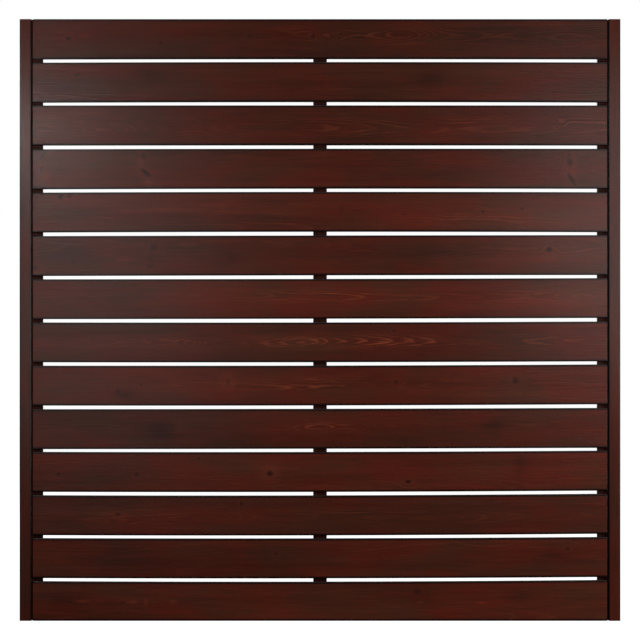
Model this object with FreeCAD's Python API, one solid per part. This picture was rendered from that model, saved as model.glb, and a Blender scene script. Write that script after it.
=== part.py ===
# A garden privacy screen, as it is sold to stand between two fence posts.
#
# Planed softwood boards lie level, one above the other, with a slot of daylight between them.
# They cross three uprights that stand behind them: one at each side, and a centre batten. In
# front of each side upright, flush with the boards and a small gap away from their sawn ends,
# an edge strip trims the screen's side. Two countersunk screws hold each crossing of a board
# and an upright. They and the strips' screws are driven from the back, so no fixing shows.
#
# Millimetres, +Z up. The boards' show faces look towards -Y. The origin is the middle of the
# screen's foot, half way through its depth.

import FreeCAD, Part
import os

# Boards
BOARD_COUNT = 14
BOARD_LENGTH = 1720.0
BOARD_WIDTH = 119.5
BOARD_THICKNESS = 18.0
SLOT_HEIGHT = 10.0

# Edge strips: as thick as the boards
STRIP_WIDTH = 35.0
END_GAP = 5.0

# Uprights: all equally deep, so that the screen's back is one plane
SIDE_UPRIGHT_WIDTH = 67.0
BATTEN_WIDTH = 41.0
UPRIGHT_DEPTH = 27.0

# Rounding of the timbers' long edges
BOARD_EDGE_RADIUS = 2.5
UPRIGHT_EDGE_RADIUS = 3.0

# Screws: the point cover is the wood left in front of a screw's point
SCREW_RADIUS = 2.0
SCREW_POINT_LENGTH = 4.0
SCREW_POINT_COVER = 4.4
HEAD_RADIUS = 4.0
HEAD_RIM = 0.5
HEAD_SINK = 0.6
RECESS_SPAN = 4.2
RECESS_WIDTH = 1.0
RECESS_DEPTH = 1.6
SHANK_CLEARANCE = 0.25

# Where the screws stand
BOARD_SCREW_MARGIN = 24.0
STRIP_SCREW_COUNT = 7
STRIP_SCREW_MARGIN = 90.0

# Worked out from the sizes above
BOARD_PITCH = BOARD_WIDTH + SLOT_HEIGHT
PANEL_HEIGHT = BOARD_COUNT * BOARD_PITCH - SLOT_HEIGHT
PANEL_WIDTH = BOARD_LENGTH + 2 * (END_GAP + STRIP_WIDTH)
PANEL_DEPTH = BOARD_THICKNESS + UPRIGHT_DEPTH
FRONT_Y = -PANEL_DEPTH / 2
SEAT_Y = FRONT_Y + BOARD_THICKNESS
BACK_Y = PANEL_DEPTH / 2
HEAD_TOP_Y = BACK_Y - HEAD_SINK
POINT_Y = FRONT_Y + SCREW_POINT_COVER
UPRIGHT_INNER_X = PANEL_WIDTH / 2 - SIDE_UPRIGHT_WIDTH
BOARD_SCREW_X = (BOARD_LENGTH / 2 + UPRIGHT_INNER_X) / 2
STRIP_SCREW_X = PANEL_WIDTH / 2 - STRIP_WIDTH / 2


def rounded_bar(low, high, radius, origin, along):
    """A straight bar with rounded long edges.

    Its section reaches from low to high, two opposite corners given as (a, b). origin turns
    a and b into a point of the bar's first end, and along is the vector to its other end.
    """
    corners = [(low[0], low[1]), (high[0], low[1]), (high[0], high[1]), (low[0], high[1])]
    edges = []
    starts = []
    ends = []
    for number, corner in enumerate(corners):
        here = FreeCAD.Vector(*corner, 0)
        back = FreeCAD.Vector(*corners[number - 1], 0) - here
        ahead = FreeCAD.Vector(*corners[(number + 1) % len(corners)], 0) - here
        back.normalize().multiply(radius)
        ahead.normalize().multiply(radius)
        centre = here + back + ahead
        middle = centre + (here - centre).normalize() * radius
        starts.append(here + back)
        ends.append(here + ahead)
        edges.append(Part.Arc(origin(here + back), origin(middle), origin(here + ahead)).toShape())
    for number, end in enumerate(ends):
        edges.append(Part.makeLine(origin(end), origin(starts[(number + 1) % len(starts)])))
    return Part.Face(Part.Wire(Part.__sortEdges__(edges))).extrude(along)


def upright_bar(low, high, radius):
    """A bar that stands from the foot to the top, with its section's corners as (x, y)."""
    height = FreeCAD.Vector(0, 0, PANEL_HEIGHT)
    return rounded_bar(low, high, radius, lambda p: FreeCAD.Vector(p.x, p.y, 0), height)


def turned(stations):
    """A solid turned about the Y axis, from stations (radius, y) in order along it."""
    points = [FreeCAD.Vector(radius, y, 0) for radius, y in stations]
    points = [FreeCAD.Vector(0, points[0].y, 0)] + points
    if points[-1].x > 0:
        points.append(FreeCAD.Vector(0, points[-1].y, 0))
    face = Part.Face(Part.makePolygon(points + points[:1]))
    return face.revolve(FreeCAD.Vector(0, 0, 0), FreeCAD.Vector(0, 1, 0), 360)


def screw_body():
    """A countersunk screw without its recess: what a board or a strip gives way to."""
    rim_y = HEAD_TOP_Y - HEAD_RIM
    neck_y = rim_y - (HEAD_RADIUS - SCREW_RADIUS)
    return turned([
        (HEAD_RADIUS, HEAD_TOP_Y),
        (HEAD_RADIUS, rim_y),
        (SCREW_RADIUS, neck_y),
        (SCREW_RADIUS, POINT_Y + SCREW_POINT_LENGTH),
        (0, POINT_Y),
    ])


def screw():
    """A countersunk screw with a cross recess in its head."""
    arm = Part.makeBox(RECESS_SPAN, RECESS_DEPTH, RECESS_WIDTH)
    arm.translate(FreeCAD.Vector(-RECESS_SPAN / 2, HEAD_TOP_Y - RECESS_DEPTH, -RECESS_WIDTH / 2))
    other_arm = arm.copy()
    other_arm.rotate(FreeCAD.Vector(0, 0, 0), FreeCAD.Vector(0, 1, 0), 90)
    return screw_body().cut(arm.fuse(other_arm).removeSplitter())


def screw_hole():
    """The countersunk hole through an upright: the head seats in it, the shank runs clear."""
    hole_radius = SCREW_RADIUS + SHANK_CLEARANCE
    rim_y = HEAD_TOP_Y - HEAD_RIM
    return turned([
        (HEAD_RADIUS, BACK_Y),
        (HEAD_RADIUS, rim_y),
        (hole_radius, rim_y - (HEAD_RADIUS - hole_radius)),
        (hole_radius, SEAT_Y),
    ])


def board_middle(number):
    """The height of a board's middle line, counted from the lowest board."""
    return number * BOARD_PITCH + BOARD_WIDTH / 2


def board_screw_places(line_x, boards):
    """Where one upright's screws into the boards stand: two to each board."""
    rise = BOARD_WIDTH / 2 - BOARD_SCREW_MARGIN
    return [
        FreeCAD.Vector(line_x, 0, board_middle(number) + side * rise)
        for number in boards
        for side in (-1, 1)
    ]


def strip_screw_places(side):
    """Where the screws into one edge strip stand, evenly spaced up the strip."""
    step = (PANEL_HEIGHT - 2 * STRIP_SCREW_MARGIN) / (STRIP_SCREW_COUNT - 1)
    return [
        FreeCAD.Vector(side * STRIP_SCREW_X, 0, STRIP_SCREW_MARGIN + number * step)
        for number in range(STRIP_SCREW_COUNT)
    ]


def copies(shape, places):
    """One compound of the shape, set down at every place."""
    placed = []
    for place in places:
        one = shape.copy()
        one.translate(place)
        placed.append(one)
    return Part.makeCompound(placed)


def board(number):
    """One board, with the six seats that its screws cut."""
    low = board_middle(number) - BOARD_WIDTH / 2
    bar = rounded_bar(
        (FRONT_Y, low),
        (SEAT_Y, low + BOARD_WIDTH),
        BOARD_EDGE_RADIUS,
        lambda p: FreeCAD.Vector(-BOARD_LENGTH / 2, p.x, p.y),
        FreeCAD.Vector(BOARD_LENGTH, 0, 0),
    )
    for line_x in (-BOARD_SCREW_X, 0, BOARD_SCREW_X):
        bar = bar.cut(copies(screw_body(), board_screw_places(line_x, [number])))
    return bar


def edge_strip(side):
    """The trim in front of a side upright: side is -1 on the left and 1 on the right."""
    outer = side * PANEL_WIDTH / 2
    inner = outer - side * STRIP_WIDTH
    low = (min(outer, inner), FRONT_Y)
    high = (max(outer, inner), SEAT_Y)
    bar = upright_bar(low, high, BOARD_EDGE_RADIUS)
    return bar.cut(copies(screw_body(), strip_screw_places(side)))


def side_upright(side):
    """The upright that the boards' ends and an edge strip are screwed to."""
    outer = side * PANEL_WIDTH / 2
    inner = side * UPRIGHT_INNER_X
    low = (min(outer, inner), SEAT_Y)
    high = (max(outer, inner), BACK_Y)
    bar = upright_bar(low, high, UPRIGHT_EDGE_RADIUS)
    bar = bar.cut(copies(screw_hole(), board_screw_places(side * BOARD_SCREW_X, range(BOARD_COUNT))))
    return bar.cut(copies(screw_hole(), strip_screw_places(side)))


def centre_batten():
    """The stiffener behind the boards' middles."""
    half = BATTEN_WIDTH / 2
    bar = upright_bar((-half, SEAT_Y), (half, BACK_Y), UPRIGHT_EDGE_RADIUS)
    return bar.cut(copies(screw_hole(), board_screw_places(0, range(BOARD_COUNT))))


def export(node, shape):
    """Writes one piece, or one set of like pieces, as parts/NODE.step."""
    if not shape.isValid():
        raise ValueError(f"{node} is not a valid shape")
    shape.exportStep(f"parts/{node}.step")
    print(f"{node}: {len(shape.Solids)} solid(s), {shape.Volume / 1000:.1f} cm3")


def main():
    os.makedirs("parts", exist_ok=True)
    every_board = range(BOARD_COUNT)
    for number in every_board:
        export(f"board_{number + 1:02d}", board(number))
    export("centre_batten", centre_batten())
    export("centre_batten_screws", copies(screw(), board_screw_places(0, every_board)))
    for name, side in (("left", -1), ("right", 1)):
        board_screws = board_screw_places(side * BOARD_SCREW_X, every_board)
        export(f"{name}_upright", side_upright(side))
        export(f"{name}_edge_strip", edge_strip(side))
        export(f"{name}_board_screws", copies(screw(), board_screws))
        export(f"{name}_strip_screws", copies(screw(), strip_screw_places(side)))
    print(f"screen {PANEL_WIDTH:g} x {PANEL_DEPTH:g} x {PANEL_HEIGHT:g} mm")


main()
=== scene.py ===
import math
import random
from dataclasses import dataclass, field

import bmesh
import bpy
from mathutils import Matrix, Vector


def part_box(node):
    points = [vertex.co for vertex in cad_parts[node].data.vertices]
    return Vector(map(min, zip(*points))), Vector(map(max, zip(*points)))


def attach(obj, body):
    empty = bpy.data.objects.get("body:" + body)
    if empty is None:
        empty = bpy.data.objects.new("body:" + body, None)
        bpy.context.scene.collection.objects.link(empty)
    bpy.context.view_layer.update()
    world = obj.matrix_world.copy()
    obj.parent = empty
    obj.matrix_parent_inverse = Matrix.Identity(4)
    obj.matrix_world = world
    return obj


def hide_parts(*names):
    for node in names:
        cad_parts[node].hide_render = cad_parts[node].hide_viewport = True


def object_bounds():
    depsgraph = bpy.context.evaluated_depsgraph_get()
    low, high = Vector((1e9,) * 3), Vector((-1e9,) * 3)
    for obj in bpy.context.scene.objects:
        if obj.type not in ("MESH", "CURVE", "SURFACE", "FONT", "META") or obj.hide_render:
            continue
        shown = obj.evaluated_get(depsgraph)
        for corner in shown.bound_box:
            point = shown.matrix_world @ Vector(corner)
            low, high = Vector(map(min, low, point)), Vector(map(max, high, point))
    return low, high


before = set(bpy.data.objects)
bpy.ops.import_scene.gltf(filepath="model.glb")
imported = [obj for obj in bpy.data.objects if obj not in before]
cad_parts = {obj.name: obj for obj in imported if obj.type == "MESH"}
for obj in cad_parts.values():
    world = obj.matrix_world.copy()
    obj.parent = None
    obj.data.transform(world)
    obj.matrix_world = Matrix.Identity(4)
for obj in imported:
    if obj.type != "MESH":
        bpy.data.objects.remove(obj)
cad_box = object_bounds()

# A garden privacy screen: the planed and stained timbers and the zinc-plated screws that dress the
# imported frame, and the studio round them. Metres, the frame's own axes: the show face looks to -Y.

MM = 0.001
X, Y, Z = 0, 1, 2

# Timbers: an arris is the rounding of an edge
BOARD_ARRIS = 2.5 * MM
UPRIGHT_ARRIS = 3 * MM
END_ARRIS = 0.6 * MM
ARRIS_STEPS = 4
END_ARRIS_STEPS = 2
CUTS_ALONG = 29

# Screws: what the frame's boxes don't tell
HEAD_RADIUS = 4 * MM
HEAD_RIM = 0.5 * MM
HEAD_CHAMFER = 0.15 * MM
SHANK_RADIUS = 2 * MM
POINT_LENGTH = 4 * MM
RECESS_SPAN = 4.2 * MM
RECESS_WIDTH = 1 * MM
RECESS_DEPTH = 1.6 * MM
RECESS_TAPER = 0.7
SEAT_PLAY = 0.12 * MM
SHANK_PLAY = 0.25 * MM
PAST_THE_END = 1 * MM
ROUND_STEPS = 20
WELD_DISTANCE = 0.01 * MM
STRIP_SCREW_COUNT = 7
SCREW_SEED = 98

# An edge where the surface turns by more than this stays sharp, and a direction of length 1 with
# this much of it along an axis counts as lying along that axis
SHARP_TURN = math.radians(35)
ALMOST_ALONG = 0.95

# The studio
CAMERA_DISTANCE = 8.5
PICTURE_WIDTH = 1.917
AIR_LIGHT = 0.25
FLOOR_SIZE = 60
FLOOR_SHADE = 0.25
CLOTH_DISTANCE = 4.5
CLOTH_WIDTH = 18
CLOTH_HEIGHT = 8
CLOTH_LIFT = 1 * MM
CLOTH_SHADE = 0.004

# Stain on softwood, as linear colours: the two tones that it drifts between, where it lies thin over
# the hard late wood, at a knot and on sawn ends; and a dark colour of painted shade along the edges and
# in the slots
STAIN_RED = (0.071, 0.0086, 0.0035)
STAIN_OLIVE = (0.049, 0.0123, 0.0056)
STAIN_THIN = (0.22, 0.045, 0.017)
STAIN_KNOT = (0.026, 0.0048, 0.0026)
STAIN_END = (0.020, 0.0052, 0.0034)
PAINTED_EDGE_SHADE = (0.010, 0.0020, 0.0012)

# How far a knot, the painted shade along an edge and a sawn end hide the stain under them
KNOT_COVER = 0.95
EDGE_SHADE_COVER = 0.92
END_COVER = 0.8

# How far in from its edge a face is darkened by painted shade, and darkest: the boards' faces,
# then all other faces
DARK_EDGE = 7.5 * MM
DARKEST_EDGE = 4.5 * MM
NARROW_DARK_EDGE = 5 * MM
NARROW_DARKEST_EDGE = 2.5 * MM

# A sheen is a roughness and a specular level. The relief is the height of the raised grain
SATIN = (0.28, 0.4)
DULL = (0.5, 0.15)
RELIEF = 0.3 * MM
RELIEF_STRENGTH = 0.5

# Each noise starts somewhere else, up to this far each way
NOISE_SPREAD = 40

ZINC = (0.60, 0.585, 0.54)
ZINC_ROUGHNESS = 0.38


# ---------------------------------------------------------------------------------------------
# Node maths


class Value:
    """A number that varies over a surface. Arithmetic with it adds Math nodes to its finish."""

    def __init__(self, finish, socket):
        self.finish = finish
        self.socket = socket

    def math(self, operation, *terms):
        inputs = dict(enumerate(terms))
        made = self.finish.node("ShaderNodeMath", {"operation": operation}, inputs)
        return Value(self.finish, made.outputs[0])

    def __add__(self, other):
        return self.math("ADD", self, other)

    def __sub__(self, other):
        return self.math("SUBTRACT", self, other)

    def __rsub__(self, other):
        return self.math("SUBTRACT", other, self)

    def __mul__(self, other):
        return self.math("MULTIPLY", self, other)

    def __truediv__(self, other):
        return self.math("DIVIDE", self, other)

    def __neg__(self):
        return self * -1

    def __abs__(self):
        return self.math("ABSOLUTE", self)

    __radd__ = __add__
    __rmul__ = __mul__

    def squared(self):
        return self * self

    def root(self):
        return self.math("SQRT", self)

    def exp(self):
        return self.math("EXPONENT", self)

    def fraction(self):
        return self.math("FRACT", self)

    def most(self, other):
        return self.math("MAXIMUM", self, other)

    def rise(self, low, high):
        """0 below low, 1 above high, and a smooth step between them."""
        settings = {"interpolation_type": "SMOOTHSTEP"}
        inputs = {"Value": self, "From Min": low, "From Max": high}
        made = self.finish.node("ShaderNodeMapRange", settings, inputs)
        return Value(self.finish, made.outputs[0])


class Finish:
    """A material, or the world, whose nodes are being put together."""

    def __init__(self, owner):
        self.owner = owner
        owner.use_nodes = True
        self.tree = owner.node_tree
        self.tree.nodes.clear()

    def node(self, kind, settings=None, inputs=None):
        """Adds a node: its settings first, then a number, a colour or a link for each socket."""
        made = self.tree.nodes.new(kind)
        for name, setting in (settings or {}).items():
            setattr(made, name, setting)
        for name, given in (inputs or {}).items():
            given = given.socket if isinstance(given, Value) else given
            if isinstance(given, bpy.types.NodeSocket):
                self.tree.links.new(given, made.inputs[name])
            else:
                made.inputs[name].default_value = given
        return made

    def mix(self, amount, first, second):
        """The first colour, giving way to the second as the amount goes from 0 to 1."""
        inputs = {0: amount, 6: self.colour(first), 7: self.colour(second)}
        return self.node("ShaderNodeMix", {"data_type": "RGBA"}, inputs).outputs[2]

    def colour(self, given):
        return (*given, 1) if isinstance(given, tuple) else given

    def scaled(self, colour, amount):
        """The colour made brighter or darker by an amount that varies."""
        inputs = {0: colour, "Scale": amount}
        return self.node("ShaderNodeVectorMath", {"operation": "SCALE"}, inputs).outputs[0]

    def stretched(self, vector, factors, shift):
        """The vector with each axis multiplied, then shifted to another part of a pattern."""
        inputs = {0: vector, 1: factors, 2: shift}
        settings = {"operation": "MULTIPLY_ADD"}
        return self.node("ShaderNodeVectorMath", settings, inputs).outputs[0]

    def noise(self, vector, factors, shift, detail):
        """Noise about 0, mostly within a quarter each way, stretched by the factors per metre."""
        place = self.stretched(vector, factors, shift)
        inputs = {"Vector": place, "Scale": 1.0, "Detail": detail}
        made = self.node("ShaderNodeTexNoise", {"noise_dimensions": "3D"}, inputs)
        return Value(self, made.outputs[0]) - 0.5

    def noise_of(self, value, shift):
        """Noise about 0 that follows one value alone."""
        inputs = {"W": value + shift, "Scale": 1.0, "Detail": 0.0}
        made = self.node("ShaderNodeTexNoise", {"noise_dimensions": "1D"}, inputs)
        return Value(self, made.outputs[0]) - 0.5

    def surface(self, shader):
        """Ends the nodes with the shader, and gives the finished material or world."""
        for_world = isinstance(self.owner, bpy.types.World)
        kind = "ShaderNodeOutputWorld" if for_world else "ShaderNodeOutputMaterial"
        self.node(kind, inputs={"Surface": shader.outputs[0]})
        return self.owner


# ---------------------------------------------------------------------------------------------
# What each timber shows


@dataclass
class Grain:
    """How one timber grew and was sawn. Lengths in mm, along it from its middle and across it.

    The rings lie round a pith behind the show face. Where the pith comes nearer and goes again,
    which a swell does, the face shows ovals and arches. A knot is (along, across, half length,
    half width, turn in degrees, darkness). A cloud is (along, across, half length, half height,
    strength): a dusky patch, or a pale one where the strength is negative. A flame is a patch,
    given in the same way, where the rings show more than elsewhere. A crook is how far a board
    rises at its left end, its middle and its right end. One edge can be straight all the same:
    1 for the upper edge, -1 for the lower.
    """

    seed: int
    crook: tuple = (0, 0, 0)
    pith: tuple = (70, 0)
    lean: float = 0.012
    wander: float = 20
    ring: float = 6.0
    rings_show: float = 0.22
    red: float = 0.5
    tone: float = 1.0
    straight_edge: int = 0
    swells: list = field(default_factory=list)
    flames: list = field(default_factory=list)
    knots: list = field(default_factory=list)
    clouds: list = field(default_factory=list)


BOARDS = {
    14: Grain(
        seed=14, crook=(-0.7, 0.3, -0.3), straight_edge=1, tone=0.89, pith=(30, 8), ring=3,
        rings_show=0.2, red=0.4,
        swells=[(250, 90, -9), (20, 50, -8)],
        flames=[(250, 10, 110, 24, 0.4), (30, 14, 80, 20, 0.3)],
        knots=[(-753, 2, 8, 6, -20, 1.1), (-770, 12, 9, 3, -35, 0.7), (-477, -12, 7, 5, 0, 0.8),
               (-210, 10, 7, 4, 0, 0.7), (-21, 8, 6, 5, 0, 0.9), (60, 14, 9, 2.5, 0, 0.6)],
    ),
    13: Grain(
        seed=13, crook=(-1, 1, -0.3), tone=1.05, pith=(90, -60), ring=3, rings_show=0.14, red=0.42,
        knots=[(-726, 22, 10, 4.5, 10, 0.9), (-810, 30, 5, 2, 0, 0.4)],
        clouds=[(-510, 22, 40, 20, 0.3), (330, 18, 50, 30, 0.3)],
    ),
    12: Grain(
        seed=12, crook=(0.1, 0.6, 0.2), pith=(40, -8), ring=3.6, rings_show=0.22, red=0.5,
        swells=[(-640, 70, -10), (-420, 120, 8), (60, 200, -8)],
        flames=[(-720, 0, 190, 50, 0.45), (100, -6, 260, 34, 0.25), (450, 12, 60, 14, 0.35),
                (790, 4, 90, 34, 0.3)],
        knots=[(720, 6, 6, 4, 0, 0.5)],
    ),
    11: Grain(
        seed=11, crook=(-1.6, 0.3, -0.1), tone=1.08, pith=(95, 50), ring=3, rings_show=0.16, red=0.5,
        knots=[(-522, -12, 17, 6, -41, 1.1), (-528, 38, 10, 6, -70, 0.7), (-830, 39, 13, 5, 55, 0.9),
               (754, -33, 22, 5, -58, 1), (749, 20, 8, 9, 0, 0.9), (744, 40, 12, 4, 80, 0.5),
               (-834, -3, 9, 5, 70, 0.6)],
        clouds=[(-822, -24, 14, 16, -0.4), (-538, 18, 8, 12, -0.5), (-516, -42, 12, 12, -0.5),
                (760, 0, 9, 40, -0.3)],
    ),
    10: Grain(
        seed=10, crook=(-1.8, 0.5, -0.7), tone=1.14, pith=(50, -46), ring=3.5, rings_show=0.24, red=0.62,
        flames=[(-300, 10, 300, 30, 0.3), (500, -10, 200, 30, 0.3)],
        knots=[(-777, 46, 9, 6, 40, 1.1), (-750, 48, 8, 5, 30, 0.9), (64, 10, 6, 13, 0, 0.35),
               (253, -7, 6, 4, 0, 0.5), (488, 1, 6, 5, 0, 0.6), (606, 10, 6, 4, 0, 0.6)],
        clouds=[(640, 0, 260, 70, -0.25), (-480, 6, 110, 5, -0.5), (-330, 22, 60, 6, -0.25)],
    ),
    9: Grain(
        seed=9, crook=(-2.6, -0.7, 0.4), tone=1.13, pith=(60, 30), ring=3.2, rings_show=0.18, red=0.48,
        flames=[(770, 8, 90, 12, 0.5), (560, 6, 60, 20, 0.3)],
        knots=[(-738, -20, 8, 6, 0, 0.8), (-498, 23, 9, 9, 0, 0.8), (-510, -34, 9, 6, 0, 0.6),
               (686, 17, 8, 7, 0, 1), (-855, -38, 10, 7, 20, 0.8)],
        clouds=[(-760, 0, 90, 60, 0.25), (-506, -10, 9, 20, 0.25), (-590, -14, 32, 5, -0.5),
                (-264, -11, 22, 16, 0.25), (680, 0, 240, 70, -0.2)],
    ),
    8: Grain(
        seed=8, crook=(-2.5, -1.3, 1.1), tone=1.17, pith=(24, 4), wander=10, ring=3.2,
        rings_show=0.22, red=0.58,
        swells=[(30, 90, -3), (560, 160, 4), (780, 90, -6)],
        flames=[(-30, 8, 230, 18, 0.45), (560, 0, 260, 22, 0.4)],
        clouds=[(-180, 0, 330, 70, -0.2), (-640, 0, 160, 60, 0.1), (780, 0, 150, 70, -0.2)],
    ),
    7: Grain(
        seed=7, crook=(-2.3, -2.2, 0.6), tone=1.02, pith=(24, 0), wander=5, ring=2.9,
        rings_show=0.16, red=0.48,
        swells=[(-54, 80, -7), (-330, 140, 8), (-385, 35, -7), (430, 240, 10)],
        flames=[(-60, 0, 130, 18, 1.0), (230, 0, 170, 16, 1.05), (-400, -4, 90, 18, 0.8),
                (-640, 0, 120, 20, 0.5), (640, 0, 130, 20, 0.4)],
        knots=[(222, 32, 6, 4, 0, 0.8)],
        clouds=[(-54, 0, 120, 26, -0.25), (-130, 0, 210, 60, -0.22)],
    ),
    6: Grain(
        seed=6, crook=(-2.5, -2.2, 1.4), tone=1.2, pith=(26, -4), wander=10, ring=3,
        rings_show=0.2, red=0.55,
        swells=[(240, 90, 6)],
        flames=[(-10, 10, 60, 12, 0.9), (-80, -8, 50, 9, 0.8), (-30, 0, 190, 22, 0.35),
                (-330, 0, 120, 20, 0.3)],
        knots=[(-606, -21, 7, 7, 0, 0.8), (-537, 0, 4, 4, 0, 0.8), (-276, 9, 6, 9, 0, 0.5),
               (228, 9, 6, 6, 0, 0.7), (585, 12, 8, 9, 0, 0.8)],
        clouds=[(-590, -30, 30, 14, 0.5), (-276, 9, 26, 30, -0.3)],
    ),
    5: Grain(
        seed=5, crook=(-3.6, -2.3, 0.4), tone=1.06, pith=(22, 5), wander=10, ring=3,
        rings_show=0.14, red=0.42,
        swells=[(0, 90, -9), (120, 40, -6)],
        flames=[(10, 4, 110, 16, 0.7)],
        knots=[(228, -20, 4, 4, 0, 0.4)],
        clouds=[(-480, -5, 46, 26, 0.5), (-420, 10, 20, 20, -0.25), (520, 10, 40, 24, 0.3)],
    ),
    4: Grain(
        seed=4, crook=(-2, -2.3, 1.8), tone=1.2, pith=(90, -56), ring=3.5, rings_show=0.14, red=0.6,
        knots=[(-783, -10, 7, 5, 20, 0.8), (-549, -10, 7, 6, 0, 0.8), (-363, 38, 5, 5, 0, 0.7),
               (-150, -7, 9, 8, 0, 0.9), (264, -31, 8, 5, 10, 1)],
        clouds=[(-150, -4, 30, 30, -0.3), (600, 20, 20, 36, 0.25)],
    ),
    3: Grain(
        seed=3, crook=(-2.5, -3.1, 2), tone=1.05, pith=(34, -10), ring=3.2, rings_show=0.14, red=0.45,
        swells=[(-640, 120, -8), (-320, 90, -7)],
        flames=[(-560, 0, 240, 26, 0.3), (60, 4, 160, 20, 0.2)],
        knots=[(-606, 0, 7, 5, 0, 0.8), (-234, 32, 5, 5, 0, 0.9)],
    ),
    2: Grain(
        seed=2, crook=(-1.5, -2.3, 1.9), tone=1.23, pith=(100, 60), ring=3.5, rings_show=0.12, red=0.46,
        knots=[(-132, 12, 6, 5, 0, 0.6), (741, 27, 7, 5, 0, 0.8)],
        clouds=[(-600, 0, 150, 50, 0.2), (700, 10, 70, 30, 0.2)],
    ),
    1: Grain(
        seed=1, crook=(-1.1, -2.8, 2.4), straight_edge=-1, tone=1.34, pith=(80, -50), ring=3.2,
        rings_show=0.14, red=0.42,
        knots=[(-750, -4, 7, 5, 0, 0.5), (-590, -5, 6, 4, 0, 0.5), (291, 28, 10, 9, 0, 0.5)],
        clouds=[(300, 14, 40, 26, 0.2), (302, -3, 9, 3, -0.6), (484, -5, 14, 3.5, -0.6),
                (597, 12, 50, 26, 0.25), (-760, 0, 60, 34, 0.25), (-712, 0, 16, 3.5, -0.8),
                (-561, -3, 14, 4, -0.8), (-522, -4, 5, 9, -0.6), (-441, -2, 9, 6, -0.6),
                (-20, -40, 420, 16, -0.25)],
    ),
}

STRIPS = {
    "left": Grain(
        seed=31, pith=(60, 40), ring=5, rings_show=0.15, red=0.5, knots=[(430, 4, 6, 4, 0, 0.3)],
    ),
    "right": Grain(
        seed=32, pith=(70, -44), ring=5, rings_show=0.15, red=0.5, knots=[(-260, -5, 6, 4, 0, 0.3)],
    ),
}

# The uprights' and batten's tone of 0.75 is painted shade: they are seen mostly in shade, in the gaps
# and slots
UPRIGHTS = {
    "left_upright": Grain(
        seed=41, pith=(52, 12), ring=4, rings_show=0.24, red=0.45, tone=0.75,
        knots=[(560, 10, 8, 7, 0, 0.8), (-120, -14, 10, 8, 0, 0.8), (-640, 16, 7, 5, 0, 0.7)],
    ),
    "right_upright": Grain(
        seed=42, pith=(60, -10), ring=4, rings_show=0.24, red=0.45, tone=0.75,
        knots=[(330, -8, 9, 7, 0, 0.8), (-420, 14, 9, 8, 0, 0.8)],
    ),
    "centre_batten": Grain(
        seed=43, pith=(70, 30), ring=4, rings_show=0.3, red=0.45, tone=0.75,
        knots=[(620, 4, 6, 5, 0, 0.7), (-210, -6, 7, 6, 0, 0.8), (-700, 5, 6, 5, 0, 0.7)],
    ),
}


# ---------------------------------------------------------------------------------------------
# Finishes


def total(values):
    """The sum of some values, which may be none at all."""
    found = None
    for one in values:
        found = one if found is None else found + one
    return 0.0 if found is None else found


def oval(along, across, middle, half):
    """The squared distance from an oval's middle: 1 on its rim."""
    return ((along - middle[0]) / half[0]).squared() + ((across - middle[1]) / half[1]).squared()


def patches(along, across, given):
    """Soft patches of their strengths, each (along, across, half length, half height, strength)."""
    return total(
        (-oval(along, across, (where * MM, up * MM), (half * MM, tall * MM))).exp() * strength
        for where, up, half, tall, strength in given
    )


def turned_oval(along, across, middle, half, turn):
    """As oval, for an oval whose length is turned up from the grain, in degrees."""
    turn = math.radians(turn)
    away = along - middle[0]
    up = across - middle[1]
    lengthwise = (away * math.cos(turn) + up * math.sin(turn)) / half[0]
    crosswise = (up * math.cos(turn) - away * math.sin(turn)) / half[1]
    return lengthwise.squared() + crosswise.squared()


def bow(crook, run):
    """How far a crooked timber stands off its line: run goes from -1 at its left end to 1."""
    left, middle, right = (rise * MM for rise in crook)
    return run * ((right - left) / 2) + run * run * ((left + right) / 2 - middle) + middle


def bend_share(straight_edge, up, half):
    """How much of a crook shows at a height above the middle: none at an edge sawn straight."""
    return 1 if straight_edge == 0 else (half - up * straight_edge) / (2 * half)


class Timber:
    """A timber that fills the box low to high, as its finish sees it.

    A place on it is along its grain from the middle, in its depth from the show side, and across
    it from the middle. Each noise on it is drawn in its turn, so their order matters.
    """

    def __init__(self, wood, low, high, grain_axis, grain):
        self.wood = wood
        self.grain = grain
        self.draws = random.Random(grain.seed)
        self.is_board = grain_axis == X
        middle = (low + high) / 2
        if self.is_board:
            across_axis = Z
            shift = (-middle.x, -low.y, -middle.z)
            turn = (0, 0, 0)
        else:
            across_axis = X
            shift = (-middle.z, -low.y, middle.x)
            turn = (0, math.pi / 2, 0)
        self.half_along, self.half_depth, self.half_across = (
            (high[axis] - low[axis]) / 2 for axis in (grain_axis, Y, across_axis)
        )
        source = wood.node("ShaderNodeTexCoord")
        inputs = {"Vector": source.outputs["Object"], "Location": shift, "Rotation": turn}
        self.place = wood.node("ShaderNodeMapping", {"vector_type": "POINT"}, inputs).outputs[0]
        self.along, self.depth, self.across = self.parts(self.place)
        facing = self.parts(source.outputs["Normal"])
        self.faces_along = abs(facing[grain_axis])
        self.faces_depth = abs(facing[Y])
        self.faces_across = abs(facing[across_axis])
        self.knots = []
        for where, up, half_length, half_width, turn, darkness in grain.knots:
            heart, reach = (where * MM, up * MM), (half_length * MM, half_width * MM)
            rim = turned_oval(self.along, self.across, heart, reach, turn)
            self.knots.append((rim, darkness))

    def parts(self, vector):
        made = self.wood.node("ShaderNodeSeparateXYZ", inputs={0: vector})
        return [Value(self.wood, socket) for socket in made.outputs]

    def draw(self):
        return self.draws.uniform(-NOISE_SPREAD, NOISE_SPREAD)

    def noise(self, along, across, detail):
        """Noise about 0, with so many waves to the metre along the timber and across it."""
        shift = (self.draw(), self.draw(), self.draw())
        return self.wood.noise(self.place, (along, across, across), shift, detail)


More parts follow.
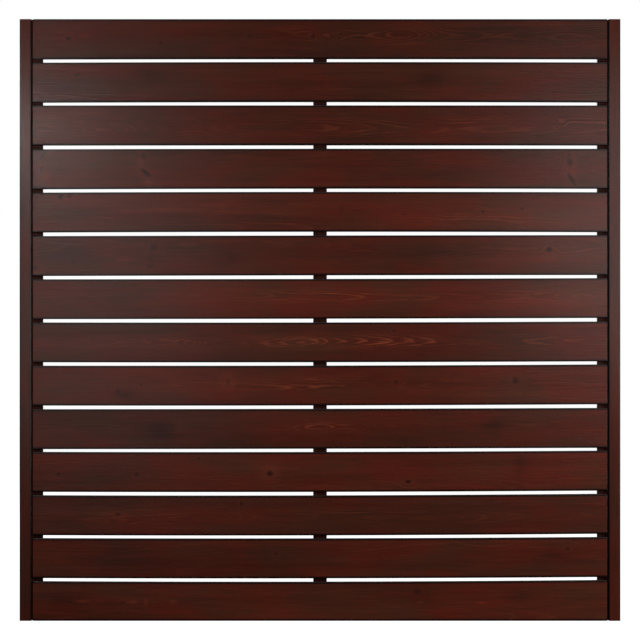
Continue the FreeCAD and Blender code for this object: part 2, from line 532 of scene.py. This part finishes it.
def growth_rings(timber):
    """The late wood of the year rings, from 0 between them to about 1 where they are hardest.

    A ring is a distance from the wandering pith, bent round the knots and frayed by the fibres.
    """
    grain = timber.grain
    wander = timber.noise(2.4, 0, detail=2)
    sway = timber.noise(1.6, 0, detail=1)
    waver = timber.noise(4, 12, detail=1)
    ripple = timber.noise(16, 40, detail=2)
    comb = timber.noise(22, 240, detail=1)
    swell = total(
        (-((timber.along - where * MM) / (half * MM)).squared()).exp() * (rise * MM)
        for where, half, rise in grain.swells
    )
    pith_depth = (
        timber.along * grain.lean + wander * (grain.wander * MM) + swell + grain.pith[0] * MM
    )
    pith_across = sway * (30 * MM) + grain.pith[1] * MM
    away = timber.depth + pith_depth
    aside = timber.across - pith_across
    push = total((rim * -0.11).exp() * (grain.ring * 1.6 * MM) for rim, _ in timber.knots)
    radius = (away.squared() + aside.squared()).root()
    radius = radius + waver * (5 * MM) + ripple * (1.6 * MM) + comb * (2 * MM) + push
    ring = (radius / (grain.ring * MM)).fraction()
    years = timber.wood.noise_of(radius * 110, timber.draw())
    return ring.rise(0.5, 0.85) * (1 - ring.rise(0.88, 1.0)) * (years * 1.8 + 1.05)


def ring_lines(timber, late_wood):
    """How far the rings show: broken lines all over, clearer in the flames and near the knots."""
    breaks = (timber.noise(8, 50, detail=2) * 3.2 + 0.8).rise(0.2, 1.4)
    flecks = timber.noise(20, 190, detail=2).rise(0.04, 0.2)
    near_knots = total((rim * -0.07).exp() * (0.1 * darkness) for rim, darkness in timber.knots)
    show = patches(timber.along, timber.across, timber.grain.flames) + near_knots
    all_over = late_wood * breaks * (timber.grain.rings_show * 0.7)
    clearer = (late_wood * (breaks * 0.7 + 0.3) + flecks * 0.5) * (show * 0.75)
    return all_over + clearer


def drifting_stain(timber, fibre, streak):
    """The stain between red and olive, light and dark, with the clouds and the knots' pale halos."""
    wood, grain = timber.wood, timber.grain
    drift = timber.noise(4.5, 15, detail=2)
    lightness = timber.noise(2, 11, detail=1)
    bands = timber.noise(0.7, 28, detail=2)
    red = (drift * 2.2 + streak * 0.35 + grain.red).rise(0.0, 1.0)
    dusk = patches(timber.along, timber.across, grain.clouds)
    halo = total((rim * -0.16).exp() * (0.18 * darkness) for rim, darkness in timber.knots)
    shade = 1 + streak * 0.45 + fibre * 0.4 + lightness * 0.55 + bands * 0.6 - dusk + halo
    return wood.scaled(wood.mix(red, STAIN_OLIVE, STAIN_RED), (shade * grain.tone).most(0.2))


def painted_edge_shade(timber):
    """Painted shade: along the faces' long edges and, on a board, over its narrow faces in the slots."""
    grain = timber.grain
    bend = bow(grain.crook, timber.along / timber.half_along)
    bend = bend * bend_share(grain.straight_edge, timber.across, timber.half_across)
    from_edge = timber.half_across - abs(timber.across - bend)
    from_arris = timber.half_depth - abs(timber.depth - timber.half_depth)
    # painted shade on the narrow faces' arrises, and on the whole narrow faces of a board
    narrow = (1 - from_arris.rise(NARROW_DARKEST_EDGE, NARROW_DARK_EDGE)) * timber.faces_across
    if timber.is_board:
        broad = (1 - from_edge.rise(DARKEST_EDGE, DARK_EDGE)) * timber.faces_depth
        return (broad + narrow).most(timber.faces_across.rise(0.05, 0.5))
    broad = (1 - from_edge.rise(NARROW_DARKEST_EDGE, NARROW_DARK_EDGE)) * timber.faces_depth
    return broad + narrow


def stained_wood(name, low, high, grain_axis, grain, sheen):
    """Planed softwood under a dark red-brown stain, for a timber that fills the box low to high."""
    wood = Finish(bpy.data.materials.new(name))
    timber = Timber(wood, low, high, grain_axis, grain)
    late_wood = growth_rings(timber)
    lines = ring_lines(timber, late_wood)
    fibre = timber.noise(14, 600, detail=2)
    streak = timber.noise(9, 140, detail=3)
    eyes = total((1 - rim.rise(0.1, 2.2)) * (KNOT_COVER * darkness) for rim, darkness in timber.knots)
    ends = timber.faces_along.rise(0.6, 0.9)

    stain = drifting_stain(timber, fibre, streak)
    stain = wood.mix(lines, stain, STAIN_THIN)
    stain = wood.mix(eyes, stain, STAIN_KNOT)
    # painted shade darkens the edges and, on a board, its narrow faces in the slots
    stain = wood.mix(painted_edge_shade(timber) * EDGE_SHADE_COVER, stain, PAINTED_EDGE_SHADE)
    stain = wood.mix(ends * END_COVER, stain, STAIN_END)

    height = late_wood * 0.4 + streak + fibre * 0.8 - eyes * 0.5
    inputs = {"Strength": RELIEF_STRENGTH, "Distance": RELIEF, "Height": height}
    bump = wood.node("ShaderNodeBump", inputs=inputs)
    roughness, specular = sheen
    shader = wood.node("ShaderNodeBsdfPrincipled", inputs={
        "Base Color": stain,
        "Roughness": roughness,
        "Specular IOR Level": specular,
        "Normal": bump.outputs[0],
    })
    return wood.surface(shader)


def zinc_plate():
    """Bright zinc on the screws, a little dulled and cloudy."""
    zinc = Finish(bpy.data.materials.new("zinc_plate"))
    source = zinc.node("ShaderNodeTexCoord")
    clouds = zinc.noise(source.outputs["Object"], (300, 300, 300), (0, 0, 0), detail=2)
    tint = zinc.scaled(ZINC, 1 + clouds * 0.5)
    shader = zinc.node("ShaderNodeBsdfPrincipled", inputs={
        "Base Color": tint,
        "Metallic": 1.0,
        "Roughness": ZINC_ROUGHNESS,
    })
    return zinc.surface(shader)


# ---------------------------------------------------------------------------------------------
# Shapes


def mesh_of(name, shape):
    """A mesh from a bmesh, which it uses up."""
    mesh = bpy.data.meshes.new(name)
    shape.to_mesh(mesh)
    shape.free()
    return mesh


def linked(name, mesh):
    made = bpy.data.objects.new(name, mesh)
    bpy.context.scene.collection.objects.link(made)
    return made


def carved(shape, cutter):
    """The shape less the cutter. It uses both up."""
    body = linked("carving", mesh_of("carving", shape))
    tool = linked("carving_tool", mesh_of("carving_tool", cutter))
    cut = body.modifiers.new("cut", "BOOLEAN")
    cut.operation = "DIFFERENCE"
    cut.solver = "EXACT"
    cut.object = tool
    result = bmesh.new()
    result.from_object(body, bpy.context.evaluated_depsgraph_get())
    for used in (body, tool):
        mesh = used.data
        bpy.data.objects.remove(used)
        bpy.data.meshes.remove(mesh)
    return result


def copies(shape, placings):
    """The shape, which it uses up, set down once for each placing."""
    pattern = mesh_of("pattern", shape)
    made = bmesh.new()
    for placing in placings:
        before = len(made.verts)
        made.from_mesh(pattern)
        made.verts.ensure_lookup_table()
        bmesh.ops.transform(made, matrix=placing, verts=made.verts[before:])
    bpy.data.meshes.remove(pattern)
    return made


def block(low, high):
    """A plain box from corner to corner, for cutting into shape."""
    shape = bmesh.new()
    bmesh.ops.create_cube(shape, size=1.0)
    bmesh.ops.scale(shape, vec=high - low, verts=shape.verts)
    bmesh.ops.translate(shape, vec=(high + low) / 2, verts=shape.verts)
    return shape


def turned(profile):
    """A solid turned about Y from a profile of (radius, y), in order along it."""
    shape = bmesh.new()
    stations = [(0, profile[0][1])] + profile
    if profile[-1][0] > 0:
        stations.append((0, profile[-1][1]))
    points = [shape.verts.new((radius, y, 0)) for radius, y in stations]
    lines = [shape.edges.new(pair) for pair in zip(points, points[1:])]
    bmesh.ops.spin(
        shape, geom=points + lines, cent=(0, 0, 0), axis=(0, 1, 0), dvec=(0, 0, 0),
        angle=2 * math.pi, steps=ROUND_STEPS, use_merge=True,
    )
    bmesh.ops.remove_doubles(shape, verts=shape.verts, dist=WELD_DISTANCE)
    bmesh.ops.recalc_face_normals(shape, faces=shape.faces)
    return shape


def planed_bar(low, high, axis, arris):
    """A bar that fills the box low to high: long edges rounded, ends eased, cut across evenly."""
    shape = block(low, high)

    def lengthwise():
        runs = ((edge, edge.verts[1].co - edge.verts[0].co) for edge in shape.edges)
        return [edge for edge, run in runs if abs(run[axis]) > ALMOST_ALONG * run.length]

    settings = {"profile": 0.5, "affect": "EDGES", "material": -1}
    bmesh.ops.bevel(shape, geom=lengthwise(), offset=arris, segments=ARRIS_STEPS, **settings)
    shape.normal_update()
    ends = [face for face in shape.faces if abs(face.normal[axis]) > ALMOST_ALONG]
    rims = [edge for face in ends for edge in face.edges]
    bmesh.ops.bevel(shape, geom=rims, offset=END_ARRIS, segments=END_ARRIS_STEPS, **settings)
    half = (high - low)[axis] / 2
    runs = [edge for edge in lengthwise() if edge.calc_length() > half]
    bmesh.ops.subdivide_edges(shape, edges=runs, cuts=CUTS_ALONG, use_grid_fill=True)
    return shape


def bent(shape, grain, low, high):
    """Gives a board that fills the box low to high its crook."""
    middle, half = (low.z + high.z) / 2, (high.z - low.z) / 2
    for vertex in shape.verts:
        share = bend_share(grain.straight_edge, vertex.co.z - middle, half)
        vertex.co.z += bow(grain.crook, vertex.co.x / high.x) * share
    return shape


def screw(length):
    """A countersunk screw that points to -Y, with a cross recess. Its head's top is at y 0."""
    neck = -HEAD_RIM - (HEAD_RADIUS - SHANK_RADIUS)
    shape = turned([
        (HEAD_RADIUS - HEAD_CHAMFER, 0),
        (HEAD_RADIUS, -HEAD_CHAMFER),
        (HEAD_RADIUS, -HEAD_RIM),
        (SHANK_RADIUS, neck),
        (SHANK_RADIUS, POINT_LENGTH - length),
        (0, -length),
    ])
    span = Vector((RECESS_SPAN / 2, RECESS_DEPTH, RECESS_WIDTH / 2))
    for turn in (0, math.pi / 2):
        arm = block(-span, span)
        for vertex in arm.verts:
            if vertex.co.y < 0:
                vertex.co.x *= RECESS_TAPER
        bmesh.ops.rotate(arm, cent=(0, 0, 0), matrix=Matrix.Rotation(turn, 3, "Y"), verts=arm.verts)
        shape = carved(shape, arm)
    return shape


def screw_hole(sink, through):
    """What a screw and its play take from an upright, measured from the head's top at y 0."""
    seat = HEAD_RADIUS + SEAT_PLAY
    shank = SHANK_RADIUS + SHANK_PLAY
    return turned([
        (seat, sink + PAST_THE_END),
        (seat, -HEAD_RIM),
        (shank, -HEAD_RIM - (seat - shank)),
        (shank, -through - PAST_THE_END),
    ])


# ---------------------------------------------------------------------------------------------
# The pieces


def dress(node, shape, finish):
    """Puts a finished piece in the place of the frame's node. Its broad faces lead the shading."""
    mesh = mesh_of(f"{node}_shape", shape)
    mesh.shade_smooth()
    mesh.set_sharp_from_angle(angle=SHARP_TURN)
    mesh.materials.append(finish)
    made = linked(f"{node}_finished", mesh)
    even = made.modifiers.new("even shading", "WEIGHTED_NORMAL")
    even.keep_sharp = True
    even.weight = 100
    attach(made, "root")
    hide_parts(node)


def make_boards():
    for number, grain in BOARDS.items():
        node = f"board_{number:02d}"
        low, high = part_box(node)
        shape = bent(planed_bar(low, high, X, BOARD_ARRIS), grain, low, high)
        finish = stained_wood(f"stained_{node}", low, high, X, grain, SATIN)
        dress(node, shape, finish)


def make_strips():
    for side, grain in STRIPS.items():
        node = f"{side}_edge_strip"
        low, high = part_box(node)
        shape = planed_bar(low, high, Z, BOARD_ARRIS)
        finish = stained_wood(f"stained_{node}", low, high, Z, grain, SATIN)
        dress(node, shape, finish)


def screw_places(node):
    """Where the screws of a set stand, at their heads' tops."""
    low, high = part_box(node)
    x = (low.x + high.x) / 2
    first = low.z + HEAD_RADIUS
    last = high.z - HEAD_RADIUS
    if "strip" in node:
        step = (last - first) / (STRIP_SCREW_COUNT - 1)
        heights = [first + number * step for number in range(STRIP_SCREW_COUNT)]
    else:
        boxes = [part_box(f"board_{number:02d}") for number in BOARDS]
        middles = sorted((board_low.z + board_high.z) / 2 for board_low, board_high in boxes)
        rise = middles[0] - first
        heights = [middle + side * rise for middle in middles for side in (-1, 1)]
    return [Vector((x, high.y, z)) for z in heights]


def make_uprights():
    sets = {
        "left_upright": ["left_board_screws", "left_strip_screws"],
        "right_upright": ["right_board_screws", "right_strip_screws"],
        "centre_batten": ["centre_batten_screws"],
    }
    for node, screw_sets in sets.items():
        low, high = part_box(node)
        places = [place for one in screw_sets for place in screw_places(one)]
        sink = high.y - places[0].y
        hole = screw_hole(sink, places[0].y - low.y)
        holes = copies(hole, [Matrix.Translation(place) for place in places])
        shape = carved(planed_bar(low, high, Z, UPRIGHT_ARRIS), holes)
        finish = stained_wood(f"stained_{node}", low, high, Z, UPRIGHTS[node], DULL)
        dress(node, shape, finish)


def make_screws():
    draws = random.Random(SCREW_SEED)
    finish = zinc_plate()
    for node in ("centre_batten_screws", "left_board_screws", "left_strip_screws",
                 "right_board_screws", "right_strip_screws"):
        low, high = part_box(node)
        placings = []
        for place in screw_places(node):
            turn = Matrix.Rotation(draws.uniform(0, math.pi / 2), 4, "Y")
            placings.append(Matrix.Translation(place) @ turn)
        dress(node, copies(screw(high.y - low.y), placings), finish)


# ---------------------------------------------------------------------------------------------
# The studio


def rays_that_see_white(finish):
    """1 for the rays that show the background: straight, mirrored or let through."""
    path = finish.node("ShaderNodeLightPath")
    seen = Value(finish, path.outputs["Is Camera Ray"])
    for kind in ("Is Glossy Ray", "Is Transmission Ray"):
        seen = seen.most(Value(finish, path.outputs[kind]))
    return seen


def make_world():
    world = bpy.data.worlds.new("studio")
    bpy.context.scene.world = world
    air = Finish(world)
    light = air.node("ShaderNodeBackground", inputs={"Color": (1, 1, 1, 1), "Strength": AIR_LIGHT})
    white = air.node("ShaderNodeBackground", inputs={"Color": (1, 1, 1, 1), "Strength": 1.0})
    inputs = {0: rays_that_see_white(air), 1: light.outputs[0], 2: white.outputs[0]}
    air.surface(air.node("ShaderNodeMixShader", inputs=inputs))


def sheet(name, middle, size, normal, finish):
    """A flat rectangle of the studio: size is its width and height, normal where it faces."""
    shape = bmesh.new()
    facing = Vector(normal).to_track_quat("Z", "Y").to_matrix().to_4x4()
    spread = Matrix.Diagonal((size[0] / 2, size[1] / 2, 1, 1))
    placing = Matrix.Translation(middle) @ facing @ spread
    bmesh.ops.create_grid(shape, x_segments=1, y_segments=1, size=1.0, matrix=placing)
    made = linked(name, mesh_of(name, shape))
    made.data.materials.append(finish)
    return made


def make_floor():
    """A pale floor that shows white where it is lit and keeps the screen's shadow."""
    paint = Finish(bpy.data.materials.new("pale_floor"))
    grey = (FLOOR_SHADE, FLOOR_SHADE, FLOOR_SHADE, 1)
    lit = paint.node("ShaderNodeBsdfDiffuse", inputs={"Color": grey})
    glow = rays_that_see_white(paint) * (1 - FLOOR_SHADE * AIR_LIGHT)
    white = paint.node("ShaderNodeEmission", inputs={"Color": (1, 1, 1, 1), "Strength": glow})
    both = paint.node("ShaderNodeAddShader", inputs={0: lit.outputs[0], 1: white.outputs[0]})
    finish = paint.surface(both)
    finish.cycles.emission_sampling = "NONE"
    sheet("floor", (0, 0, 0), (FLOOR_SIZE, FLOOR_SIZE), (0, 0, 1), finish)


def hang(cloth):
    """Only mirrored rays meet a cloth."""
    cloth.visible_camera = False
    cloth.visible_diffuse = False
    cloth.visible_transmission = False
    cloth.visible_shadow = False


def make_flags():
    """Dark cloths that only mirrored rays meet, so that the satin stain stays deep."""
    cloth = Finish(bpy.data.materials.new("dark_cloth"))
    grey = (CLOTH_SHADE, CLOTH_SHADE, CLOTH_SHADE, 1)
    finish = cloth.surface(cloth.node("ShaderNodeEmission", inputs={"Color": grey, "Strength": 1.0}))
    finish.cycles.emission_sampling = "NONE"
    for side, away in (("front", -CLOTH_DISTANCE), ("back", CLOTH_DISTANCE)):
        hung = (0, away, CLOTH_HEIGHT / 2)
        laid = (0, away / 2, CLOTH_LIFT)
        size = (CLOTH_WIDTH, CLOTH_HEIGHT)
        hang(sheet(f"{side}_hung_cloth", hung, size, (0, -away, 0), finish))
        size = (CLOTH_WIDTH, CLOTH_DISTANCE)
        hang(sheet(f"{side}_laid_cloth", laid, size, (0, 0, 1), finish))
    size = (CLOTH_WIDTH, 2 * CLOTH_DISTANCE)
    hang(sheet("overhead_cloth", (0, 0, CLOTH_HEIGHT), size, (0, 0, -1), finish))


def lamp(name, place, aim, size, radiance):
    """A soft rectangular lamp. Size is its width and height, radiance how bright its face is."""
    data = bpy.data.lights.new(name, "AREA")
    data.shape = "RECTANGLE"
    data.size, data.size_y = size
    data.energy = radiance * math.pi * size[0] * size[1]
    made = bpy.data.objects.new(name, data)
    bpy.context.scene.collection.objects.link(made)
    made.location = place
    made.rotation_mode = "QUATERNION"
    made.rotation_quaternion = (Vector(aim) - Vector(place)).to_track_quat("-Z", "Y")
    made.visible_camera = False
    return made


def make_lamps():
    low, high = cad_box
    middle = (0, low.y, (low.z + high.z) / 2)
    lamp("left_strip_lamp", (-1.59, -1.28, 1.58), middle, (2.2, 0.08), 18)
    lamp("left_low_lamp", (-0.9, -2.2, 1.05), middle, (0.88, 1.06), 0.95)
    lamp("right_front_lamp", (1.16, -1.95, 1.26), middle, (0.75, 1.04), 1.8)
    lamp("sky_lamp", (0.4, -1.2, 4.6), (0, 0, 0.9), (4.0, 3.0), 1.6)
    lamp("right_side_lamp", (2.3, -1.3, 0.8), middle, (0.9, 1.1), 9.5)
    lamp("back_lamp", (-3.6, 4.2, 3.0), middle, (2.6, 2.6), 13)


def make_camera():
    """Square on to the show face, half way up: the picture is 1.92 m wide at the boards."""
    low, high = cad_box
    view = bpy.data.cameras.new("camera")
    view.sensor_width = 36
    view.lens = view.sensor_width * CAMERA_DISTANCE / PICTURE_WIDTH
    camera = bpy.data.objects.new("camera", view)
    bpy.context.scene.collection.objects.link(camera)
    camera.location = (0, low.y - CAMERA_DISTANCE, (low.z + high.z) / 2)
    camera.rotation_euler = (math.pi / 2, 0, 0)
    bpy.context.scene.camera = camera


def main():
    bpy.context.scene.view_settings.view_transform = "Standard"
    make_camera()
    make_world()
    make_floor()
    make_flags()
    make_lamps()
    make_boards()
    make_strips()
    make_uprights()
    make_screws()


main()
